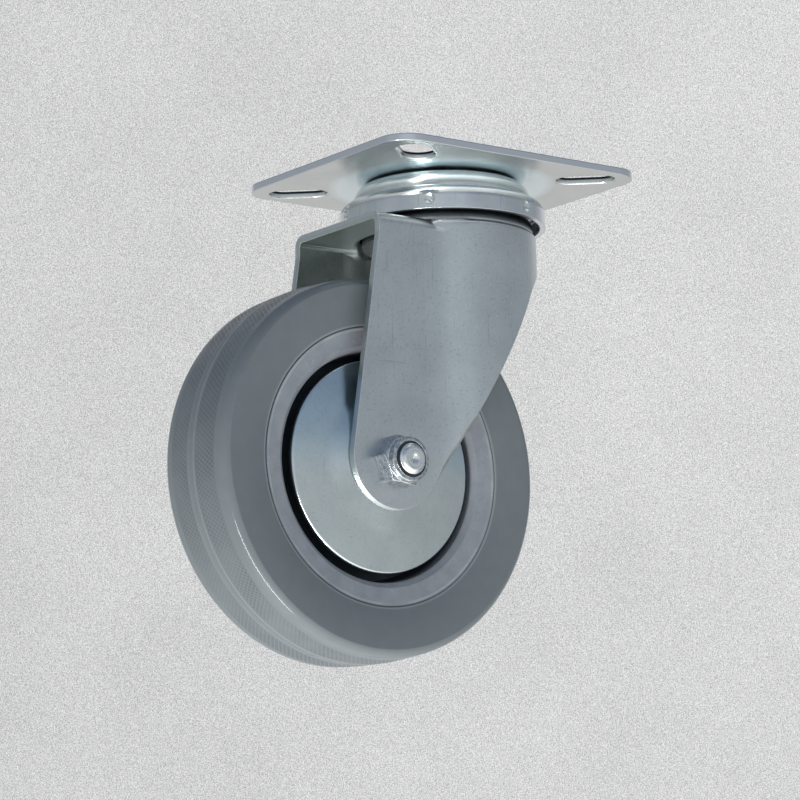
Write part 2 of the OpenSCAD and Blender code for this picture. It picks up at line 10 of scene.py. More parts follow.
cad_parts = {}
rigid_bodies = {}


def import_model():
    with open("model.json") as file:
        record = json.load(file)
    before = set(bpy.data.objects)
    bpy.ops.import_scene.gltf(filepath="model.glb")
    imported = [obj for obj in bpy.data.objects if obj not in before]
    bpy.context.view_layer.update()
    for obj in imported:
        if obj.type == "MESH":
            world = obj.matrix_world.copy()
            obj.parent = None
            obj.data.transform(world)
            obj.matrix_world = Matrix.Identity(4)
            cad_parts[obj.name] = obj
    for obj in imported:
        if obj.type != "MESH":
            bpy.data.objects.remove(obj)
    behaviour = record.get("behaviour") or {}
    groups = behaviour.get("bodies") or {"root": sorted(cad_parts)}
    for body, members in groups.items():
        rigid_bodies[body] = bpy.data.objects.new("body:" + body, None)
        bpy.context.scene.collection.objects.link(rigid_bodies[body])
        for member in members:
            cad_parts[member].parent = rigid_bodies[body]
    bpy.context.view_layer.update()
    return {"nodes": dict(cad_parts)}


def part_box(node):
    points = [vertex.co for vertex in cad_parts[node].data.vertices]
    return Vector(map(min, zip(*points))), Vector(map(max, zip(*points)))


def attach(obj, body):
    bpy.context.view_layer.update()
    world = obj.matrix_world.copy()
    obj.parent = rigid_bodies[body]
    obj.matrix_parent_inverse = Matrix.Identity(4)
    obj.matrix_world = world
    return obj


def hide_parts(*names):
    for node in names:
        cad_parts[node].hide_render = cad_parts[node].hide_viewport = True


bl_info = {
    "name": "Castor Wheel Looks",
    "version": (1, 0, 0),
    "blender": (4, 5, 0),
    "location": "3D View > Sidebar > Castor",
    "description": "Dresses a swivel castor with zinc, rubber and plastic finishes and sets its stage",
    "category": "Object",
}

for leftover in list(bpy.data.objects):
    bpy.data.objects.remove(leftover)

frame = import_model()
NODES = frame["nodes"]

MM = 0.001
AXLE = Vector((0, 1, 0))
SIDEWAYS = Vector((1, 0, 0))
TYRE_LOW, TYRE_HIGH = (Vector(corner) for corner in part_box("tyre"))
WHEEL_CENTRE = (TYRE_LOW + TYRE_HIGH) / 2
WHEEL_RADIUS = (TYRE_HIGH.x - TYRE_LOW.x) / 2
GUARD_LOW, GUARD_HIGH = (Vector(corner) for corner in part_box("far_guard"))
FORK_LOW, FORK_HIGH = (Vector(corner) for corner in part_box("fork"))
HOUSING_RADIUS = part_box("race_housing")[1][0]
# Tone of the bright zinc edges: partly wear, partly a painted highlight
WORN_HIGHLIT_ZINC = (0.95, 0.96, 0.96)


# ---- Shader nodes ----

def add(tree, kind, sockets=None, **settings):
    """Adds a shader node, sets its options, and sets or links its sockets."""
    node = tree.nodes.new("ShaderNode" + kind)
    for name, value in settings.items():
        setattr(node, name, value)
    for key, value in (sockets or {}).items():
        if isinstance(value, bpy.types.NodeSocket):
            tree.links.new(value, node.inputs[key])
        else:
            node.inputs[key].default_value = value
    return node


def toned(tone, factor=1.0):
    """A tone as RGBA, made lighter or darker by a factor."""
    return (*(min(1.0, factor * part) for part in tone), 1)


def blend(tree, amount, first, second, mode="MIX"):
    """Mixes two colours."""
    return add(tree, "Mix", {0: amount, 6: first, 7: second}, data_type="RGBA", blend_type=mode).outputs[2]


def calc(tree, operation, first, second=0.0):
    """One step of arithmetic."""
    return add(tree, "Math", {0: first, 1: second}, operation=operation).outputs[0]


def both(tree, first, second):
    """A mask where two masks meet."""
    return calc(tree, "MULTIPLY", first, second)


def remap(tree, value, low, high, to_low=0.0, to_high=1.0, smooth=False):
    """Turns a span of values into another."""
    kind = "SMOOTHSTEP" if smooth else "LINEAR"
    sockets = {"Value": value, "From Min": low, "From Max": high, "To Min": to_low, "To Max": to_high}
    return add(tree, "MapRange", sockets, interpolation_type=kind).outputs[0]


def off(tree, value, place):
    """How far a value is from a place, either way."""
    return calc(tree, "ABSOLUTE", calc(tree, "SUBTRACT", value, place))


def stripe(tree, value, place, core, edge, strength=1.0):
    """A mask about a place that is full within the core's half width and gone at the edge's."""
    return remap(tree, off(tree, value, place), core, edge, strength, 0.0)


def diagonal(tree, across, along):
    """Length of two distances at right angles."""
    flat = add(tree, "CombineXYZ", {0: across, 1: along}).outputs[0]
    return add(tree, "VectorMath", {0: flat}, operation="LENGTH").outputs["Value"]


def dot(tree, first, second):
    """How far two directions agree."""
    return add(tree, "VectorMath", {0: first, 1: second}, operation="DOT_PRODUCT").outputs["Value"]


def noise(tree, coords, size, detail=2.0, roughness=0.5, stretch=(1, 1, 1)):
    """Cloudy noise whose blotches are about as wide as the given size in metres."""
    spread = tuple(factor / size for factor in stretch)
    placed = add(tree, "Mapping", {"Vector": coords, "Scale": spread}).outputs[0]
    sockets = {"Vector": placed, "Scale": 1.0, "Detail": detail, "Roughness": roughness}
    return add(tree, "TexNoise", sockets).outputs["Fac"]


def own_coords(tree):
    """A piece's own coordinates."""
    return add(tree, "TexCoord").outputs["Object"]


def axes(tree, vector):
    """A vector's X, Y and Z."""
    return add(tree, "SeparateXYZ", {0: vector}).outputs


def radius_about(tree, coords, centre):
    """Distance from a line along Y, the angle around it and the place along it."""
    x, y, z = axes(tree, coords)
    across = calc(tree, "SUBTRACT", x, centre.x)
    upwards = calc(tree, "SUBTRACT", z, centre.z)
    return diagonal(tree, across, upwards), calc(tree, "ARCTAN2", upwards, across), y


# ---- Finishes ----

def opened(material):
    """A material's node tree and shader, and the piece's own coordinates."""
    tree = material.node_tree
    return tree, tree.nodes["Principled BSDF"], own_coords(tree)


def new_finish(name):
    """A new material with its node tree, its shader and the piece's own coordinates."""
    material = bpy.data.materials.new(name)
    material.use_nodes = True
    return material, *opened(material)


def paint(tree, shader, amount, tone, mode="MIX"):
    """Gives a finish another colour where the amount is 1."""
    colour = shader.inputs["Base Color"].links[0].from_socket
    tree.links.new(blend(tree, amount, colour, toned(tone), mode), shader.inputs["Base Color"])


def tint(tree, shader, amount, tone):
    """Multiplies a finish's colour by a tone where the amount is 1."""
    paint(tree, shader, amount, tone, "MULTIPLY")


def roughen(tree, shader, coords, low, high, size):
    """Roughness that drifts between two values."""
    drift = remap(tree, noise(tree, coords, size, 3.0), 0.3, 0.7, low, high)
    tree.links.new(drift, shader.inputs["Roughness"])


def soften_normals(tree, shader, bumps, edge_radius):
    """Rounds the edges of a piece and adds its bumps, each a height and its depth in metres."""
    normal = add(tree, "Bevel", {"Radius": edge_radius}, samples=8).outputs[0]
    for height, depth in bumps:
        normal = add(tree, "Bump", {"Height": height, "Distance": depth, "Normal": normal}).outputs[0]
    tree.links.new(normal, shader.inputs["Normal"])


def vary_edges(tree, radius):
    """Lets the radius of a finish's rounded edges differ over the piece."""
    for node in tree.nodes:
        if node.bl_idname == "ShaderNodeBevel":
            tree.links.new(radius, node.inputs["Radius"])


def zinc_finish(name, tone, cloud_tone, roughness, edge_radius=0.35 * MM, grain=0.012 * MM, scratches=0.35,
                specks=0.0, wear_and_highlight=0.0, cloud_size=14 * MM):
    """Zinc plate: cloudy passivation, fine rolled grain, hairline scratches, specks, and bright edges that are partly
    wear and partly a painted highlight.
    """
    material, tree, shader, coords = new_finish(name)
    cloud = remap(tree, noise(tree, coords, cloud_size, 4.0, 0.6), 0.35, 0.65)
    colour = blend(tree, cloud, toned(tone), toned(cloud_tone))
    hairline = noise(tree, coords, 0.5 * MM, 1.0, 0.5, (1.0, 1.0, 0.03))
    hairline = remap(tree, hairline, 0.68, 0.74, 0.0, scratches)
    crossing = noise(tree, coords, 0.6 * MM, 1.0, 0.5, (0.04, 1.0, 1.0))
    crossing = remap(tree, crossing, 0.70, 0.76, 0.0, scratches)
    marks = calc(tree, "MAXIMUM", hairline, crossing)
    colour = blend(tree, marks, colour, toned(tone, 0.55))
    if specks:
        fleck = remap(tree, noise(tree, coords, 0.7 * MM, 1.0), 0.60, 0.72, 0.0, specks)
        colour = blend(tree, fleck, colour, toned(tone, 1.25))
        pit = remap(tree, noise(tree, coords, 0.9 * MM, 1.0), 0.40, 0.28, 0.0, specks)
        colour = blend(tree, pit, colour, toned(tone, 0.5))
    # bright edges, partly wear and partly a painted highlight, where the rounded normal parts from the true one
    if wear_and_highlight:
        rounded = add(tree, "Bevel", {"Radius": 1.2 * edge_radius}, samples=6).outputs[0]
        match = dot(tree, rounded, add(tree, "NewGeometry").outputs["Normal"])
        colour = blend(tree, remap(tree, match, 0.995, 0.93, 0.0, wear_and_highlight), colour, toned(WORN_HIGHLIT_ZINC))
    tree.links.new(colour, shader.inputs["Base Color"])
    shader.inputs["Metallic"].default_value = 1.0
    roughen(tree, shader, coords, roughness - 0.04, roughness + 0.05, 9 * MM)
    fine = noise(tree, coords, 0.35 * MM, 3.0, 0.6)
    soften_normals(tree, shader, [(fine, grain), (marks, -0.01 * MM)], edge_radius)
    return material


def steel_finish(name, tone, roughness):
    """Hardened or dull plated steel with a thin film of oil."""
    material, tree, shader, coords = new_finish(name)
    film = remap(tree, noise(tree, coords, 3 * MM, 3.0), 0.4, 0.6)
    tree.links.new(blend(tree, film, toned(tone), toned(tone, 0.78)), shader.inputs["Base Color"])
    shader.inputs["Metallic"].default_value = 1.0
    roughen(tree, shader, coords, roughness - 0.03, roughness + 0.06, 2 * MM)
    soften_normals(tree, shader, [(noise(tree, coords, 0.3 * MM), 0.004 * MM)], edge_radius=0.15 * MM)
    return material


def rubber_finish(name, tone, roughness):
    """Matt rubber: faint mottling, a little dust and a fine skin."""
    material, tree, shader, coords = new_finish(name)
    mottle = remap(tree, noise(tree, coords, 6 * MM, 4.0, 0.6), 0.35, 0.65)
    colour = blend(tree, mottle, toned(tone), toned(tone, 1.06))
    dust = remap(tree, noise(tree, coords, 0.6 * MM, 2.0), 0.66, 0.74, 0.0, 0.12)
    tree.links.new(blend(tree, dust, colour, toned(tone, 1.35)), shader.inputs["Base Color"])
    shader.inputs["Specular IOR Level"].default_value = 0.45
    roughen(tree, shader, coords, roughness - 0.05, roughness + 0.05, 4 * MM)
    skin = noise(tree, coords, 0.25 * MM, 2.0)
    bump = add(tree, "Bump", {"Height": skin, "Distance": 0.008 * MM}).outputs[0]
    tree.links.new(bump, shader.inputs["Normal"])
    return material


def plastic_finish(name, tone, roughness, nicks):
    """Moulded plastic with small nicks and a faint flow pattern."""
    material, tree, shader, coords = new_finish(name)
    flow = remap(tree, noise(tree, coords, 5 * MM, 3.0), 0.35, 0.65)
    colour = blend(tree, flow, toned(tone), toned(tone, 1.15))
    nick = remap(tree, noise(tree, coords, 1.1 * MM, 2.0), 0.64, 0.70, 0.0, nicks)
    tree.links.new(blend(tree, nick, colour, toned(tone, 1.9)), shader.inputs["Base Color"])
    roughen(tree, shader, coords, roughness - 0.06, roughness + 0.06, 3 * MM)
    grain = noise(tree, coords, 0.3 * MM, 2.0)
    soften_normals(tree, shader, [(grain, 0.02 * MM), (nick, -0.03 * MM)], edge_radius=0.3 * MM)
    return material


def tread_marks(material, sizes, looks):
    """Paints the tread: painted shade in the pits between crossing ridges, pale seams, a pale joint and polished
    shoulders.
    """
    tree, shader, coords = opened(material)
    radius, angle, place = radius_about(tree, coords, WHEEL_CENTRE)
    column = calc(tree, "MULTIPLY", angle, sizes.columns / (4 * math.pi))
    tread_low = sizes.radius - sizes.crown
    on_tread = remap(tree, radius, tread_low - 0.9 * MM, tread_low - 0.6 * MM)
    edge = sizes.pattern_half_width
    pits = None
    for way, rows in ((-1, sizes.far_rows), (1, sizes.near_rows)):
        half = (rows - 1) * sizes.row_pitch / 2
        row = calc(tree, "MULTIPLY", calc(tree, "SUBTRACT", place, -way * edge), way / (2 * sizes.row_pitch))
        rising = calc(tree, "PINGPONG", calc(tree, "ADD", column, row), 0.5)
        falling = calc(tree, "PINGPONG", calc(tree, "SUBTRACT", column, row), 0.5)
        ridge = remap(tree, calc(tree, "MINIMUM", rising, falling), 0.05, 0.17, 1.0, 0.0)
        inside = stripe(tree, place, way * (half - edge), half - 0.2 * MM, half + 0.1 * MM)
        deep = both(tree, inside, calc(tree, "SUBTRACT", 1.0, ridge))
        pits = deep if pits is None else calc(tree, "MAXIMUM", pits, deep)
    # patchy strength of the painted shade in the pits
    patchiness = remap(tree, noise(tree, coords, 16 * MM, 2.0), 0.35, 0.6, 0.45, 1.0)
    paint(tree, shader, both(tree, both(tree, pits, patchiness), on_tread), looks.pit_shade_tone)
    for seam, strength in ((sizes.seam_place, 0.6), (sizes.seam_place + sizes.seam_gap, 0.25)):
        line = stripe(tree, place, seam, 0.12 * MM, 0.3 * MM, strength)
        paint(tree, shader, both(tree, line, on_tread), looks.ridge_tone)
    joint = remap(tree, radius, sizes.seat_radius + 0.6 * MM, sizes.seat_radius + 1.1 * MM, 0.9, 0.0)
    paint(tree, shader, joint, looks.ridge_tone)
    shine = stripe(tree, radius, sizes.radius - sizes.polish_depth, 0.7 * MM, 1.2 * MM)
    off_tread = remap(tree, calc(tree, "ABSOLUTE", place), sizes.tread_half_width + 0.3 * MM,
                      sizes.tread_half_width + 0.6 * MM)
    shine = both(tree, shine, off_tread)
    rough = shader.inputs["Roughness"].links[0].from_socket
    rough = calc(tree, "ADD", calc(tree, "MULTIPLY", rough, calc(tree, "SUBTRACT", 1.0, shine)),
                 calc(tree, "MULTIPLY", shine, looks.polish_roughness))
    tree.links.new(rough, shader.inputs["Roughness"])


def dress(material, *names):
    """Gives CAD nodes their finish."""
    for name in names:
        for slot in NODES[name].material_slots:
            slot.material = material


# ---- Mesh building ----

def direction(azimuth, elevation):
    """Unit vector for an azimuth, from -Y towards +X, and an elevation."""
    flat = math.cos(elevation)
    return Vector((math.sin(azimuth) * flat, -math.cos(azimuth) * flat, math.sin(elevation)))


def arc(centre_r, centre_y, radius, start, end, count):
    """Points of an arc in a profile. Angles run from the axle's direction to the tread's."""
    points = []
    for i in range(count + 1):
        angle = math.radians(start + (end - start) * i / count)
        points.append((centre_r + radius * math.sin(angle), centre_y + radius * math.cos(angle)))
    return points


def turned(profile, centre, axis, steps):
    """Spins a closed profile, given as radius and distance along the axis, into a solid."""
    shape = bmesh.new()
    corners = [shape.verts.new(centre + SIDEWAYS * r + axis * h) for r, h in profile]
    rims = [shape.edges.new(pair) for pair in zip(corners, corners[1:] + corners[:1])]
    bmesh.ops.spin(shape, geom=corners + rims, cent=centre, axis=axis, dvec=(0, 0, 0),
                   angle=2 * math.pi, steps=steps, use_merge=True, use_duplicate=False)
    bmesh.ops.remove_doubles(shape, verts=shape.verts, dist=1e-7)
    bmesh.ops.recalc_face_normals(shape, faces=shape.faces)
    return shape


def round_edges(shape, least_angle, width, segments, wanted):
    """Bevels the wanted edges that are sharper than an angle in degrees."""
    limit = math.radians(least_angle)
    edges = [edge for edge in shape.edges
             if edge.is_manifold and edge.calc_face_angle() > limit and wanted(edge)]
    bmesh.ops.bevel(shape, geom=edges, offset=width, offset_type="OFFSET", segments=segments, profile=0.5,
                    affect="EDGES", clamp_overlap=True, material=-1)


def keep_piece(shape, name, material, body, nodes, sharp_angle=40):
    """Makes an object of a finished mesh, gives it its material slot, ties it to its body and hides the CAD nodes that
    it replaces.
    """
    mesh = bpy.data.meshes.new(name)
    shape.to_mesh(mesh)
    shape.free()
    mesh.shade_smooth()
    mesh.set_sharp_from_angle(angle=math.radians(sharp_angle))
    mesh.materials.append(material)
    piece = bpy.data.objects.new(name, mesh)
    bpy.context.scene.collection.objects.link(piece)
    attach(piece, body)
    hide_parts(*nodes)


# ---- Settings ----

def tone_property(name, description, default):
    """A colour setting."""
    return FloatVectorProperty(name=name, description=description, subtype="COLOR", size=3, min=0, max=1,
                               default=default)


def size_property(name, description, default):
    """A length setting, in metres."""
    return FloatProperty(name=name, description=description, unit="LENGTH", subtype="DISTANCE", precision=5,
                         default=default)


def number_property(name, description, default):
    """A plain number."""
    return FloatProperty(name=name, description=description, default=default)


def angles_property(name, description, degrees):
    """A direction setting: its azimuth from -Y towards +X, and its elevation."""
    return FloatVectorProperty(name=name, description=description, unit="ROTATION", size=2,
                               default=[math.radians(part) for part in degrees])


class CastorFinishes(bpy.types.PropertyGroup):
    """Colours and roughness of the castor's finishes"""
    plate_tone: tone_property("Plate zinc", "Zinc of the top plate", (0.66, 0.68, 0.66))
    plate_roughness: number_property("Plate roughness", "Roughness of the plate", 0.2)
    edge_tone: tone_property("Plate edge", "Zinc of the plate's outer edge", (0.78, 0.79, 0.85))
    # painted reflection: the plate beside the head is painted brighter for the head's reflection in it
    head_reflection_tone: tone_property("Plate centre", "Zinc of the plate beside the head", (0.84, 0.96, 1.0))
    # painted highlight on the lower half of the slots' walls
    slot_highlight_tone: tone_property("Slot rims", "Zinc of the lower half of the slots' walls", (1, 1, 1))
    slot_shade: tone_property("Slot shade", "Tint of the upper half of the slots' walls", (0.05, 0.06, 0.08))
    head_tone: tone_property("Head zinc", "Zinc of the race housing", (0.76, 0.79, 0.80))
    head_cloud: tone_property("Head clouds", "Clouds in the zinc of the race housing", (0.67, 0.69, 0.74))
    head_roughness: number_property("Head roughness", "Roughness of the housing", 0.17)
    # painted highlight: the housing's bead and neck are painted brighter for their bright reflections
    bead_highlight_tone: tone_property("Bead zinc", "Zinc of the housing's bead and its neck", (0.95, 0.96, 0.97))
    head_shade: tone_property("Head shade", "Tint of the raised race and the housing's inside", (0.22, 0.23, 0.24))
    race_tone: tone_property("Race steel", "Steel of the lower race", (0.31, 0.32, 0.33))
    ball_tone: tone_property("Ball steel", "Steel of the head's balls", (0.62, 0.62, 0.63))
    fork_tone: tone_property("Fork zinc", "Zinc of the fork", (0.67, 0.705, 0.73))
    fork_roughness: number_property("Fork roughness", "Roughness of the fork", 0.34)
    # painted light: the legs are painted lighter towards their ends
    tip_light_tone: tone_property("Leg tip zinc", "Brighter zinc towards the ends of the legs", (0.95, 0.97, 0.96))
    # painted shade on the fork's inner faces
    inside_shade_tone: tone_property("Inside tint", "Tint of the fork's inner faces", (0.90, 0.93, 0.87))
    guard_tone: tone_property("Guard zinc", "Zinc of the thread guards", (0.755, 0.80, 0.82))
    guard_cloud: tone_property("Guard clouds", "Clouds in the zinc of the guards", (0.67, 0.715, 0.735))
    # painted reflection: bluish surroundings seen in the upper half of the guards
    guard_reflection_tint: tone_property("Guard tint", "Blue tint of the upper half of the guards", (0.80, 0.91, 1.0))
    guard_roughness: number_property("Guard roughness", "Roughness of the guards", 0.22)
    pin_tone: tone_property("Pin zinc", "Zinc of the king pin", (0.60, 0.63, 0.64))
    nut_tone: tone_property("Nut zinc", "Zinc of the nut", (0.74, 0.76, 0.78))
    nut_cloud: tone_property("Nut clouds", "Worn places of the nut", (0.26, 0.30, 0.36))
    bolt_tone: tone_property("Bolt zinc", "Zinc of the axle bolt", (0.95, 0.96, 0.97))
    bolt_cloud: tone_property("Bolt clouds", "Clouds in the zinc of the bolt", (0.74, 0.77, 0.80))
    # painted shade: the pale nylon insert sits in shadow, so it is painted dark
    insert_shade_tone: tone_property("Insert nylon", "Nylon of the nut's insert", (0.07, 0.08, 0.09))
    steel_tone: tone_property("Plain steel", "Steel of the washers and the tube", (0.42, 0.43, 0.44))
    bearing_tone: tone_property("Bearing steel", "Steel of the wheel bearings", (0.55, 0.55, 0.56))
    shield_tone: tone_property("Shield rubber", "Rubber of the bearings' shields", (0.02, 0.02, 0.022))
    rubber_tone: tone_property("Tyre rubber", "Grey of the tyre", (0.193, 0.215, 0.232))
    rubber_roughness: number_property("Rubber roughness", "Roughness of the tyre", 0.36)
    polish_roughness: number_property("Polish roughness", "Roughness of the tyre's polished shoulders", 0.14)
    # painted shade in the pits of the tread
    pit_shade_tone: tone_property("Tread pits", "Grey of the pits in the tread", (0.130, 0.149, 0.164))
    ridge_tone: tone_property("Tread lines", "Grey of the tread's seams", (0.32, 0.34, 0.35))
    rim_tone: tone_property("Rim plastic", "Grey of the rim", (0.310, 0.325, 0.360))
    # pale lip by the tyre: patchy wear and a painted highlight
    lip_wear_and_highlight_tone: tone_property("Rim lip", "Grey of the rim's worn lip", (0.62, 0.62, 0.64))
    # painted shade inside the rim's recess, also used for the dark joint at the tyre
    recess_shade_and_joint_tone: tone_property("Hollow tint", "Tint inside the rim's recess", (0.13, 0.16, 0.19))


class CastorPlaces(bpy.types.PropertyGroup):
    """Places on the castor where a finish changes"""
    slot: FloatVectorProperty(name="Slot", description="Place of a slot's centre along X and Y", size=2,
                              default=(35.5 * MM, 33.3 * MM))
    slot_reach: size_property("Slot reach", "Distance from a slot's centre that holds its whole wall", 11.5 * MM)
    slot_dark: size_property("Slot dark", "Height from which a slot's wall is darker upwards", -1.0 * MM)
    slot_bright: size_property("Slot bright", "Height from which a slot's wall is brighter downwards", -1.2 * MM)
    bead_height: size_property("Bead height", "Height of the middle of the housing's bead", -7.9 * MM)
    skirt_height: size_property("Skirt height", "Height of the middle of the housing's shoulder", -13.4 * MM)
    crown_height: size_property("Crown height", "Height of the middle of the crown's sheet", -21.6 * MM)
    hood_start: size_property("Hood start", "Place along X from which the hood has its full width", -8 * MM)
    blend: size_property("Blend", "Place along X where the hood's round meets its blend", -16.5 * MM)
    leg_start: size_property("Leg start", "Place along X up to which the legs are flat", -20 * MM)
    leg_half_width: size_property("Leg half width", "Half width over the fork's legs", 23.75 * MM)
    tip_height: size_property("Tip height", "Height from which the legs are brighter downwards", -90 * MM)
    leg_end: size_property("Leg end", "Height of the lower end of the legs", -118 * MM)
    rim_mouth_radius: size_property("Rim mouth radius", "Radius of the mouth of the rim's recess", 37.5 * MM)
    turning_pitch: size_property("Turning pitch", "Distance between the rings turned on the bolt's end", 0.45 * MM)


class CastorTyre(bpy.types.PropertyGroup):
    """Sizes of the tyre and its tread"""
    radius: size_property("Radius", "Radius of the tread's middle, below its seam", WHEEL_RADIUS - 0.14 * MM)
    seat_radius: size_property("Seat radius", "Radius where the tyre meets the rim", 45.4 * MM)
    seat_half_width: size_property("Seat half width", "Half width of the rim at the tyre", 16.8 * MM)
    key_height: size_property("Key height", "Height of the rim's key", 3 * MM)
    key_half_width: size_property("Key half width", "Half width of the rim's key", 7 * MM)
    shoulder_radius: size_property("Shoulder radius", "Radius of the tyre's shoulders", 4 * MM)
    polish_depth: size_property("Polish depth", "Depth of the polished line of the shoulder", 1.3 * MM)
    edge_radius: size_property("Edge radius", "Radius of the moulded edge of the side wall", 0.6 * MM)
    tread_half_width: size_property("Tread half width", "Half width of the tread between its shoulders", 14 * MM)
    pattern_half_width: size_property("Pattern half width", "Half width of the patterned tread", 12 * MM)
    crown: size_property("Crown", "Rise of the tread's middle", 0.5 * MM)
    row_pitch: size_property("Row pitch", "Distance between rows of the tread's pattern", 1.15 * MM)
    pit_depth: size_property("Pit depth", "Depth of the pits of the tread's pattern", 0.16 * MM)
    seam_height: size_property("Seam height", "Height of the mould seam round the tread", 0.14 * MM)
    seam_place: size_property("Seam place", "Place of the mould seam along the axle", -1.0 * MM)
    seam_gap: size_property("Seam gap", "Distance to the second, fainter seam", 3 * MM)
    far_rows: IntProperty(name="Far rows", description="Rows of the pattern on the +Y side", default=9)
    near_rows: IntProperty(name="Near rows", description="Rows of the pattern on the -Y side", default=10)
    columns: IntProperty(name="Columns", description="Steps of the tread's pattern around the wheel", default=462)


class CastorGuards(bpy.types.PropertyGroup):
    """Sizes of the thread guards"""
    thickness: size_property("Thickness", "Sheet thickness of a guard", 1 * MM)
    hole_radius: size_property("Hole radius", "Radius of the hole for the bolt", 5.25 * MM)
    flat_radius: size_property("Flat radius", "Radius of the flat middle", 14.5 * MM)
    boss_radius: size_property("Boss radius", "Radius of the foot of the raised middle", 22.5 * MM)
    boss_drop: size_property("Boss drop", "Distance from the leg to the foot of the raised middle", 3.4 * MM)
    edge_drop: size_property("Edge drop", "Distance from the leg to the guard's edge", 5.6 * MM)
    lip_depth: size_property("Lip depth", "Depth of the turned-in lip", 2.2 * MM)
    bend_width: size_property("Bend width", "Width of the soft bends", 1.8 * MM)


class CastorStage(bpy.types.PropertyGroup):
    """Camera, surroundings, lamp and floor"""
    camera_angles: angles_property("Camera direction", "Where the camera stands", (-36.786, -10.521))
    roll: FloatProperty(name="Roll", description="Camera's roll", subtype="ANGLE", default=math.radians(-1.242))
    distance: size_property("Distance", "Camera's distance from its target", 1.125)
    lens: FloatProperty(name="Lens", description="Focal length in millimetres", default=153.4725)
    target: FloatVectorProperty(name="Target", description="Point that the camera looks at", size=3,
                                subtype="TRANSLATION", default=(-0.01925, 0.0, -0.07713))
    paper_tone: tone_property("Paper", "Tone of the background", (0.655, 0.658, 0.658))
    low_tone: tone_property("Light from below", "Tone of the surroundings below", (1.0, 1.0, 0.98))
    middle_tone: tone_property("Light from the sides", "Tone of the surroundings at mid height", (0.447, 0.485, 0.495))
    high_tone: tone_property("Light from above", "Tone of the surroundings above", (0.24, 0.29, 0.36))
    far_shade: number_property("Far shade", "Strength of the surroundings beyond the castor", 0.85)
    low_glow: number_property("Low glow", "Strength of the light from below", 1.5)
    left_glow: number_property("Left glow", "Strength of the soft light from the left", 1.1)
    left_angles: angles_property("Left direction", "Where the soft light from the left comes from", (-95, -45))
    front_glow: number_property("Front glow", "Strength of the soft light above the camera", 1.3)
    front_angles: angles_property("Front direction", "Where the soft light above the camera comes from", (-32, 12))
    lamp_power: number_property("Lamp power", "Power of the long lamp low at the left, in watts", 4.0)
    lamp_angles: angles_property("Lamp direction", "Where the long lamp stands", (-66, -48))
    lamp_distance: size_property("Lamp distance", "Distance of the long lamp from the target", 0.9)
    lamp_width: size_property("Lamp width", "Width of the long lamp", 0.06)
    lamp_length: size_property("Lamp length", "Length of the long lamp", 0.8)
    lamp_tone: tone_property("Lamp tone", "Colour of the long lamp", (1.0, 0.99, 0.96))
    floor_tone: tone_property("Floor tone", "Tone of the floor", (0.78, 0.78, 0.78))
    floor_cloud: tone_property("Floor clouds", "Tone of the floor's paler places", (0.84, 0.84, 0.84))
    floor_glow: number_property("Floor glow", "Strength of the floor's own light", 0.42)
    floor_gap: size_property("Floor gap", "Distance from the tyre down to the floor", 0.3 * MM)


# ---- Pieces ----

class CASTOR_OT_finish_plate(bpy.types.Operator):
    """Gives the top plate its zinc, with a bluish edge, a painted reflection of the head beside it, and slots with
    painted shade above and a painted highlight below
    """
    bl_idname = "castor.finish_plate"
    bl_label = "Finish top plate"

    def execute(self, context):
        looks, places = context.scene.castor_finishes, context.scene.castor_places
        cloud = tuple(0.93 * part for part in looks.plate_tone)
        zinc = zinc_finish("plate_zinc", looks.plate_tone, cloud, looks.plate_roughness, edge_radius=0.5 * MM,
                           scratches=0.15)
        tree, shader, coords = opened(zinc)
        x, y, z = axes(tree, coords)
        # painted reflection: the plate is painted brighter beside the head, where the head's bead shows in it
        head_reflection = remap(tree, diagonal(tree, x, y), HOUSING_RADIUS, HOUSING_RADIUS + 4 * MM, 0.7, 0.0)
        paint(tree, shader, head_reflection, looks.head_reflection_tone)
        across = calc(tree, "SUBTRACT", calc(tree, "ABSOLUTE", x), places.slot[0])
        along = calc(tree, "SUBTRACT", calc(tree, "ABSOLUTE", y), places.slot[1])
        near_slot = calc(tree, "LESS_THAN", diagonal(tree, across, along), places.slot_reach)
        facing = axes(tree, add(tree, "NewGeometry").outputs["True Normal"])[2]
        wall = calc(tree, "LESS_THAN", calc(tree, "ABSOLUTE", facing), 0.5)
        slot_wall = both(tree, wall, near_slot)
        paint(tree, shader, calc(tree, "SUBTRACT", wall, slot_wall), looks.edge_tone)
        # painted highlight along the lower rim of each slot, and painted shade on the upper part of its wall
        lower = remap(tree, z, places.slot_bright, places.slot_bright - 0.5 * MM)
        paint(tree, shader, both(tree, slot_wall, lower), looks.slot_highlight_tone)
        upper = remap(tree, z, places.slot_dark, places.slot_dark + 0.35 * MM)
        tint(tree, shader, both(tree, slot_wall, upper), looks.slot_shade)
        vary_edges(tree, remap(tree, near_slot, 0.0, 1.0, 0.5 * MM, 1.2 * MM))
        dress(zinc, "top_plate")
        return {"FINISHED"}


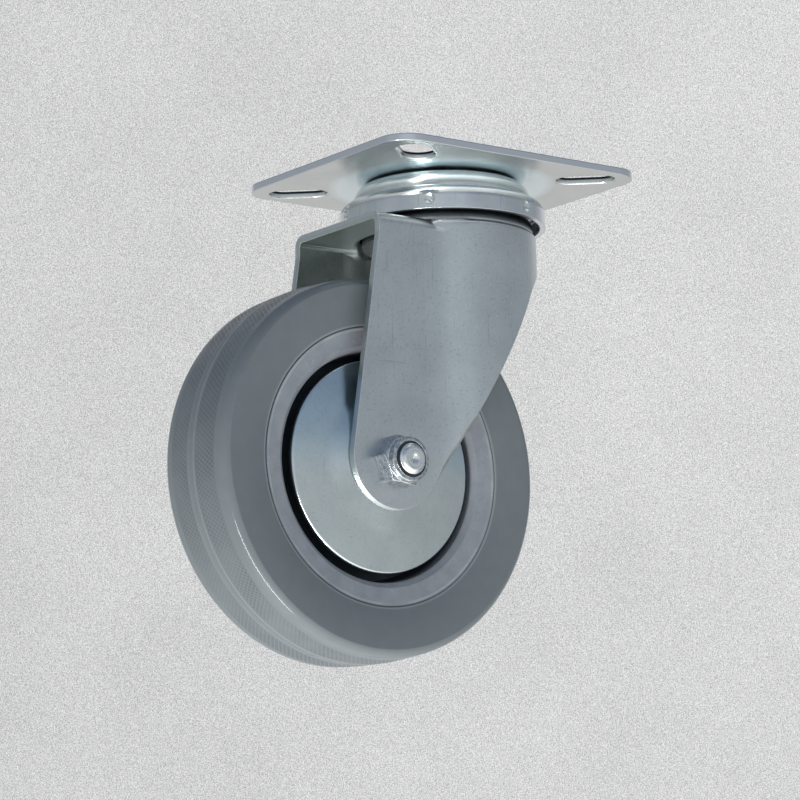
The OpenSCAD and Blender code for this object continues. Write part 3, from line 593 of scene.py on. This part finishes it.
class CASTOR_OT_finish_head(bpy.types.Operator):
    """Gives the race housing, races, balls and king pin their metals, with a painted highlight on the housing's bead
    and painted shade inside its skirt
    """
    bl_idname = "castor.finish_head"
    bl_label = "Finish swivel head"

    def execute(self, context):
        looks, places = context.scene.castor_finishes, context.scene.castor_places
        zinc = zinc_finish("housing_zinc", looks.head_tone, looks.head_cloud, looks.head_roughness)
        tree, shader, coords = opened(zinc)
        x, y, z = axes(tree, coords)
        # painted highlight on the housing's bead and neck
        upper = remap(tree, z, places.bead_height - 1 * MM, places.bead_height + 1 * MM, 0.0, 0.5)
        paint(tree, shader, upper, looks.bead_highlight_tone)
        inner = remap(tree, diagonal(tree, x, y), HOUSING_RADIUS - 1.9 * MM, HOUSING_RADIUS - 1.6 * MM, 1.0, 0.0)
        low = calc(tree, "LESS_THAN", z, places.skirt_height)
        tint(tree, shader, both(tree, inner, low), looks.head_shade)
        dress(zinc, "race_housing")
        dress(zinc_finish("pin_zinc", looks.pin_tone, looks.steel_tone, 0.32), "king_pin")
        dress(steel_finish("race_steel", looks.race_tone, 0.42), "lower_race", "pin_washer")
        dress(steel_finish("ball_steel", looks.ball_tone, 0.12), "upper_balls", "lower_balls")
        return {"FINISHED"}


class CASTOR_OT_finish_fork(bpy.types.Operator):
    """Gives the pressed fork its satin zinc, with painted shade on its inner faces and raised race, and painted light
    towards the ends of its legs
    """
    bl_idname = "castor.finish_fork"
    bl_label = "Finish fork"

    def execute(self, context):
        looks, places = context.scene.castor_finishes, context.scene.castor_places
        cloud = tuple(0.9 * part for part in looks.fork_tone)
        zinc = zinc_finish("fork_zinc", looks.fork_tone, cloud, looks.fork_roughness, edge_radius=0.5 * MM,
                           specks=0.3, wear_and_highlight=0.35)
        tree, shader, coords = opened(zinc)
        x, y, z = axes(tree, coords)

        # painted shade on the inner faces, which lie within the hood's round or between the legs, and below the crown
        reach = diagonal(tree, calc(tree, "MAXIMUM", x, 0.0), y)
        hood_half_width = (FORK_HIGH.y - FORK_LOW.y) / 2
        wall = remap(tree, x, places.leg_start, places.hood_start, places.leg_half_width, hood_half_width)
        inside = calc(tree, "LESS_THAN", reach, calc(tree, "SUBTRACT", wall, 1.2 * MM))
        below = calc(tree, "LESS_THAN", z, places.crown_height)
        tint(tree, shader, both(tree, inside, below), looks.inside_shade_tone)
        raised = remap(tree, z, places.crown_height + 1.4 * MM, places.crown_height + 2.2 * MM)
        tint(tree, shader, raised, looks.head_shade)
        # painted light: the legs grow lighter downwards towards their ends
        paint(tree, shader, remap(tree, z, places.tip_height, places.leg_end, 0.0, 0.35), looks.tip_light_tone)
        crease = off(tree, x, places.blend)
        vary_edges(tree, remap(tree, crease, 3 * MM, 7 * MM, 3 * MM, 0.5 * MM, smooth=True))
        dress(zinc, "fork")
        return {"FINISHED"}


class CASTOR_OT_finish_axle(bpy.types.Operator):
    """Gives the axle bolt, its nut and its washers their finishes"""
    bl_idname = "castor.finish_axle"
    bl_label = "Finish axle"

    def execute(self, context):
        looks, places = context.scene.castor_finishes, context.scene.castor_places
        zinc = zinc_finish("nut_zinc", looks.nut_tone, looks.nut_cloud, 0.24, grain=0.05 * MM, specks=0.8, wear_and_highlight=0.9,
                           cloud_size=1.3 * MM)
        dress(zinc, "axle_nut")
        zinc = zinc_finish("bolt_zinc", looks.bolt_tone, looks.bolt_cloud, 0.2, specks=0.3, wear_and_highlight=0.6)
        tree, shader, coords = opened(zinc)
        radius = radius_about(tree, coords, WHEEL_CENTRE)[0]
        rings = calc(tree, "PINGPONG", calc(tree, "MULTIPLY", radius, 1 / places.turning_pitch), 1.0)
        normal = shader.inputs["Normal"].links[0].from_socket
        turned_face = add(tree, "Bump", {"Height": rings, "Distance": 0.05 * MM, "Normal": normal}).outputs[0]
        tree.links.new(turned_face, shader.inputs["Normal"])
        dress(zinc, "axle_bolt")
        dress(steel_finish("washer_steel", looks.steel_tone, 0.38), "near_spacer", "far_spacer", "inner_tube")
        # the insert's nylon is painted dark for the shade in its recess
        dress(plastic_finish("insert_nylon", looks.insert_shade_tone, 0.5, nicks=0.0), "nut_insert")
        return {"FINISHED"}


class CASTOR_OT_finish_bearings(bpy.types.Operator):
    """Gives the wheel bearings their steel and their black shields"""
    bl_idname = "castor.finish_bearings"
    bl_label = "Finish wheel bearings"

    def execute(self, context):
        looks = context.scene.castor_finishes
        dress(steel_finish("bearing_steel", looks.bearing_tone, 0.2), "near_inner_ring", "far_inner_ring",
              "near_outer_ring", "far_outer_ring", "near_balls", "far_balls")
        dress(rubber_finish("shield_rubber", looks.shield_tone, 0.5), "near_shield", "far_shield")
        return {"FINISHED"}


class CASTOR_OT_finish_rim(bpy.types.Operator):
    """Gives the rim its moulded plastic, a pale lip that is partly worn and partly a painted highlight, painted shade
    in its recess and a dark joint at the tyre
    """
    bl_idname = "castor.finish_rim"
    bl_label = "Finish rim"

    def execute(self, context):
        looks, places = context.scene.castor_finishes, context.scene.castor_places
        seat = context.scene.castor_tyre.seat_radius
        mouth = places.rim_mouth_radius
        plastic = plastic_finish("rim_plastic", looks.rim_tone, 0.42, nicks=0.25)
        tree, shader, coords = opened(plastic)
        radius = radius_about(tree, coords, WHEEL_CENTRE)[0]
        # painted shade in the rim's recess
        tint(tree, shader, remap(tree, radius, mouth - 0.6 * MM, mouth + 0.4 * MM, 1.0, 0.0), looks.recess_shade_and_joint_tone)
        # patchy worn flecks and a painted highlight along the lip next to the tyre
        patchiness = remap(tree, noise(tree, coords, 9 * MM), 0.4, 0.6, 0.1, 0.5)
        lip = stripe(tree, radius, seat - 0.8 * MM, 0.15 * MM, 0.45 * MM)
        paint(tree, shader, both(tree, lip, patchiness), looks.lip_wear_and_highlight_tone)
        # a dark joint where the rim meets the tyre
        tint(tree, shader, remap(tree, radius, seat - 0.35 * MM, seat - 0.1 * MM, 0.0, 0.8), looks.recess_shade_and_joint_tone)
        dress(plastic, "wheel_rim")
        return {"FINISHED"}


class CASTOR_OT_build_tyre(bpy.types.Operator):
    """Builds the tyre: crowned tread with a diamond pattern, mould seams, round shoulders and moulded edges"""
    bl_idname = "castor.build_tyre"
    bl_label = "Build tyre"

    def execute(self, context):
        sizes = context.scene.castor_tyre
        looks = context.scene.castor_finishes
        edge_start, edge_end = -6, 22
        flat = sizes.tread_half_width
        crown_r = (flat ** 2 + sizes.crown ** 2) / (2 * sizes.crown)
        crown_tilt = math.degrees(math.asin(flat / crown_r))

        def tread_r(place):
            return sizes.radius - crown_r + math.sqrt(crown_r ** 2 - place ** 2)

        # side wall, moulded edge and shoulder of the +Y side, from the rim outwards
        bend = sizes.shoulder_radius
        end = math.radians(90 - crown_tilt)
        shoulder_r = tread_r(flat) - bend * math.sin(end)
        shoulder_y = flat - bend * math.cos(end)
        turn = math.radians(edge_end)
        edge_r = shoulder_r + (bend - sizes.edge_radius) * math.sin(turn)
        edge_y = shoulder_y + (bend - sizes.edge_radius) * math.cos(turn)
        wall = [(sizes.seat_radius, sizes.seat_half_width - 0.5 * MM),
                (sizes.seat_radius + 0.15 * MM, sizes.seat_half_width - 0.15 * MM),
                (sizes.seat_radius + 0.5 * MM, sizes.seat_half_width)]
        wall += arc(edge_r, edge_y, sizes.edge_radius, edge_start, edge_end, 4)
        wall += arc(shoulder_r, shoulder_y, bend, edge_end, 90 - crown_tilt, 14)[1:-1]

        # rows of the tread: two patterned bands beside the mould seams
        pitch = sizes.row_pitch
        pattern = sizes.pattern_half_width
        far_rows = [pattern - pitch * i for i in range(sizes.far_rows)]
        near_rows = [-pattern + pitch * i for i in range(sizes.near_rows)]
        seam = sizes.seam_place
        seams = {seam: sizes.seam_height, seam + sizes.seam_gap: sizes.seam_height / 2}
        plain = []
        for place in sorted(seams, reverse=True):
            plain += [(tread_r(place), place + 0.3 * MM), (tread_r(place) + seams[place], place),
                      (tread_r(place), place - 0.3 * MM)]
        tread = [(tread_r(place), place) for place in [flat] + far_rows] + plain
        tread += [(tread_r(place), place) for place in [*reversed(near_rows), -flat]]
        key_r = sizes.seat_radius + sizes.key_height
        inside = [(sizes.seat_radius, -sizes.key_half_width), (key_r, -sizes.key_half_width),
                  (key_r, sizes.key_half_width), (sizes.seat_radius, sizes.key_half_width)]
        profile = wall + tread + [(r, -y) for r, y in reversed(wall)] + inside
        shape = turned(profile, WHEEL_CENTRE, AXLE, sizes.columns)

        # every second point of the patterned rows is pressed in, and ridges join the others
        close = 0.01 * MM
        step = 2 * math.pi / sizes.columns
        place_of = {}
        for vert in shape.verts:
            arm = vert.co - WHEEL_CENTRE
            radius = math.hypot(arm.x, arm.z)
            if radius < shoulder_r:
                continue
            for band in (far_rows, near_rows):
                row = min(range(len(band)), key=lambda i: abs(band[i] - arm.y))
                if abs(band[row] - arm.y) < close and radius > tread_r(flat) - close:
                    column = round(math.atan2(arm.z, arm.x) / step)
                    place_of[vert] = (row + column) % 2
                    if place_of[vert] and 0 < row < len(band) - 1:
                        inwards = 1 - sizes.pit_depth / radius
                        vert.co = WHEEL_CENTRE + Vector((arm.x * inwards, arm.y, arm.z * inwards))
        for face in list(shape.faces):
            if len(face.verts) == 4 and all(vert in place_of for vert in face.verts):
                ends = [vert for vert in face.verts if not place_of[vert]]
                if len(ends) == 2:
                    bmesh.utils.face_split(face, *ends)
        rubber = rubber_finish("tyre_rubber", looks.rubber_tone, looks.rubber_roughness)
        tread_marks(rubber, sizes, looks)
        keep_piece(shape, "patterned_tyre", rubber, "wheel", ["tyre"], sharp_angle=50)
        return {"FINISHED"}


class CASTOR_OT_build_guards(bpy.types.Operator):
    """Builds the two dished thread guards with soft bends and a turned-in lip"""
    bl_idname = "castor.build_guards"
    bl_label = "Build thread guards"

    def execute(self, context):
        sizes = context.scene.castor_guards
        looks = context.scene.castor_finishes
        zinc = zinc_finish("guard_zinc", looks.guard_tone, looks.guard_cloud, looks.guard_roughness, scratches=0.3,
                           specks=0.15)
        tree, shader, coords = opened(zinc)
        # painted reflection: the guards are tinted blue towards their top
        upper = remap(tree, axes(tree, coords)[2], WHEEL_CENTRE.z - 8 * MM, WHEEL_CENTRE.z + 14 * MM, smooth=True)
        tint(tree, shader, upper, looks.guard_reflection_tint)
        leg_y = GUARD_HIGH.y
        radius = (GUARD_HIGH.x - GUARD_LOW.x) / 2
        sheet = sizes.thickness
        foot = leg_y - sizes.boss_drop
        edge = leg_y - sizes.edge_drop
        profile = [(sizes.hole_radius, leg_y), (sizes.flat_radius, leg_y), (sizes.boss_radius, foot),
                   (radius - sheet / 2, edge), (radius, edge - sheet / 2), (radius, edge - sizes.lip_depth),
                   (radius - sheet, edge - sizes.lip_depth), (radius - sheet, edge - sheet),
                   (sizes.boss_radius, foot - sheet), (sizes.flat_radius, leg_y - sheet),
                   (sizes.hole_radius, leg_y - sheet)]
        bends = (sizes.flat_radius, sizes.boss_radius)
        centre = Vector((WHEEL_CENTRE.x, 0, WHEEL_CENTRE.z))

        def is_bend(edge):
            arm = edge.verts[0].co - centre
            return min(abs(math.hypot(arm.x, arm.z) - bend) for bend in bends) < 0.05 * MM

        for side, name, node in ((-1, "near_thread_guard", "near_guard"), (1, "far_thread_guard", "far_guard")):
            shape = turned([(r, side * y) for r, y in profile], centre, AXLE, steps=128)
            round_edges(shape, 8, sizes.bend_width, segments=4, wanted=is_bend)
            round_edges(shape, 30, 0.22 * MM, segments=2, wanted=lambda edge: not is_bend(edge))
            keep_piece(shape, name, zinc, "swivel_fork", [node])
        return {"FINISHED"}


class CASTOR_OT_build_stage(bpy.types.Operator):
    """Sets up the camera, the lamp, the floor and the surroundings"""
    bl_idname = "castor.build_stage"
    bl_label = "Build stage"

    def execute(self, context):
        scene = context.scene
        stage = scene.castor_stage
        scene.view_settings.view_transform = "Standard"
        azimuth, roll = stage.camera_angles[0], stage.roll
        target = Vector(stage.target)
        back = direction(*stage.camera_angles)
        level = Vector((math.cos(azimuth), math.sin(azimuth), 0))
        upright = back.cross(level)
        right = math.cos(roll) * level + math.sin(roll) * upright
        up = math.cos(roll) * upright - math.sin(roll) * level
        data = bpy.data.cameras.new("photo_camera")
        data.lens, data.sensor_width, data.sensor_fit = stage.lens, 36.0, "HORIZONTAL"
        data.clip_start, data.clip_end = 0.05, 20.0
        camera = bpy.data.objects.new("photo_camera", data)
        place = Matrix((right, up, back)).transposed().to_4x4()
        place.translation = target + back * stage.distance
        camera.matrix_world = place
        scene.collection.objects.link(camera)
        scene.camera = camera

        self.add_lamp(scene, stage, target)
        self.add_floor(scene, stage)
        self.add_surroundings(scene, stage, back, right)
        return {"FINISHED"}

    @staticmethod
    def add_lamp(scene, stage, target):
        """A long, narrow lamp low at the left. It draws the bright lines of the guard's lip and the shoulder."""
        towards = direction(*stage.lamp_angles)
        data = bpy.data.lights.new("side_lamp", "AREA")
        data.shape, data.size, data.size_y = "RECTANGLE", stage.lamp_width, stage.lamp_length
        data.energy, data.color = stage.lamp_power, stage.lamp_tone
        long_way = Vector((0.56, 0, -0.83))
        upright = (long_way - towards * long_way.dot(towards)).normalized()
        place = Matrix((upright.cross(towards), upright, towards)).transposed().to_4x4()
        place.translation = target + towards * stage.lamp_distance
        lamp = bpy.data.objects.new("side_lamp", data)
        lamp.matrix_world = place
        lamp.visible_camera = False
        scene.collection.objects.link(lamp)

    @staticmethod
    def add_floor(scene, stage):
        """A pale floor under the tyre. The camera sees it only from above."""
        material = bpy.data.materials.new("floor_paper")
        material.use_nodes = True
        tree = material.node_tree
        tree.nodes.remove(tree.nodes["Principled BSDF"])
        mottle = noise(tree, own_coords(tree), 1.5 * MM)
        tone = blend(tree, mottle, toned(stage.floor_tone), toned(stage.floor_cloud))
        paper = add(tree, "BsdfDiffuse", {"Color": tone}).outputs[0]
        glow = add(tree, "Emission", {"Color": (1, 1, 1, 1), "Strength": stage.floor_glow}).outputs[0]
        lit = add(tree, "AddShader", {0: paper, 1: glow}).outputs[0]
        clear = add(tree, "BsdfTransparent").outputs[0]
        seen = add(tree, "LightPath").outputs["Is Camera Ray"]
        below = add(tree, "NewGeometry").outputs["Backfacing"]
        shown = calc(tree, "SUBTRACT", seen, below)
        mixed = add(tree, "MixShader", {0: calc(tree, "MAXIMUM", shown, 0.0), 1: clear, 2: lit}).outputs[0]
        tree.links.new(mixed, tree.nodes["Material Output"].inputs["Surface"])
        shape = bmesh.new()
        bmesh.ops.create_circle(shape, cap_ends=True, segments=96, radius=4.0)
        bmesh.ops.translate(shape, verts=shape.verts, vec=(0, 0, TYRE_LOW.z - stage.floor_gap))
        mesh = bpy.data.meshes.new("floor")
        shape.to_mesh(mesh)
        shape.free()
        mesh.materials.append(material)
        floor = bpy.data.objects.new("floor", mesh)
        scene.collection.objects.link(floor)

    @staticmethod
    def add_surroundings(scene, stage, back, right):
        """Soft surroundings, brighter below, with pale grained paper behind the castor."""
        world = bpy.data.worlds.new("studio")
        world.use_nodes = True
        scene.world = world
        tree = world.node_tree
        towards = add(tree, "TexCoord").outputs["Generated"]
        height = axes(tree, towards)[2]
        up = remap(tree, height, 0.05, 0.6, smooth=True)
        tone = blend(tree, up, toned(stage.middle_tone), toned(stage.high_tone))
        down = remap(tree, height, -0.45, -0.9, smooth=True)
        low = tuple(stage.low_glow * part for part in stage.low_tone)
        tone = blend(tree, down, tone, (*low, 1))
        for angles, wide, narrow, strength in ((stage.left_angles, 0.4, 0.9, stage.left_glow),
                                               (stage.front_angles, 0.78, 0.98, stage.front_glow)):
            near = dot(tree, towards, direction(*angles))
            glow = remap(tree, near, wide, narrow, 1.0, strength, smooth=True)
            tone = blend(tree, 1.0, tone, glow, "MULTIPLY")
        beyond = dot(tree, towards, -back)
        paper = toned(stage.paper_tone)
        shade = remap(tree, beyond, -0.4, 0.0, 1.0, stage.far_shade, smooth=True)
        tone = blend(tree, 1.0, tone, shade, "MULTIPLY")
        tone = blend(tree, remap(tree, beyond, 0.6, 0.95, smooth=True), tone, paper)

        # what the camera sees: paper with fine grain, faint clouds and a slope of light from left to right
        grain = remap(tree, noise(tree, towards, size=0.00026, detail=0.0), 0.2, 0.8, 0.60, 1.40)
        cloud = remap(tree, noise(tree, towards, size=0.05, roughness=0.6), 0.3, 0.7, 0.96, 1.04)
        slope = remap(tree, dot(tree, towards, right), -0.12, 0.12, 0.96, 1.03)
        grained = blend(tree, 1.0, paper, both(tree, both(tree, grain, cloud), slope), "MULTIPLY")
        seen = add(tree, "LightPath").outputs["Is Camera Ray"]
        colour = blend(tree, seen, tone, grained)
        tree.links.new(colour, tree.nodes["Background"].inputs["Color"])


# ---- Panel and registration ----

OPERATORS = (CASTOR_OT_finish_plate, CASTOR_OT_finish_head, CASTOR_OT_finish_fork, CASTOR_OT_finish_axle,
             CASTOR_OT_finish_bearings, CASTOR_OT_finish_rim, CASTOR_OT_build_tyre, CASTOR_OT_build_guards,
             CASTOR_OT_build_stage)


class CASTOR_PT_panel(bpy.types.Panel):
    """Lists the castor's pieces"""
    bl_label = "Castor"
    bl_idname = "CASTOR_PT_panel"
    bl_space_type = "VIEW_3D"
    bl_region_type = "UI"
    bl_category = "Castor"

    def draw(self, context):
        for operator in OPERATORS:
            self.layout.operator(operator.bl_idname)


SETTINGS = {"castor_finishes": CastorFinishes, "castor_places": CastorPlaces, "castor_tyre": CastorTyre,
            "castor_guards": CastorGuards, "castor_stage": CastorStage}
CLASSES = (*SETTINGS.values(), *OPERATORS, CASTOR_PT_panel)


def register():
    for item in CLASSES:
        bpy.utils.register_class(item)
    for name, group in SETTINGS.items():
        setattr(bpy.types.Scene, name, PointerProperty(type=group))


def unregister():
    for name in SETTINGS:
        delattr(bpy.types.Scene, name)
    for item in reversed(CLASSES):
        bpy.utils.unregister_class(item)


def main():
    register()
    bpy.ops.castor.finish_plate()
    bpy.ops.castor.finish_head()
    bpy.ops.castor.finish_fork()
    bpy.ops.castor.finish_axle()
    bpy.ops.castor.finish_bearings()
    bpy.ops.castor.finish_rim()
    bpy.ops.castor.build_tyre()
    bpy.ops.castor.build_guards()
    bpy.ops.castor.build_stage()


if __name__ == "__main__":
    main()
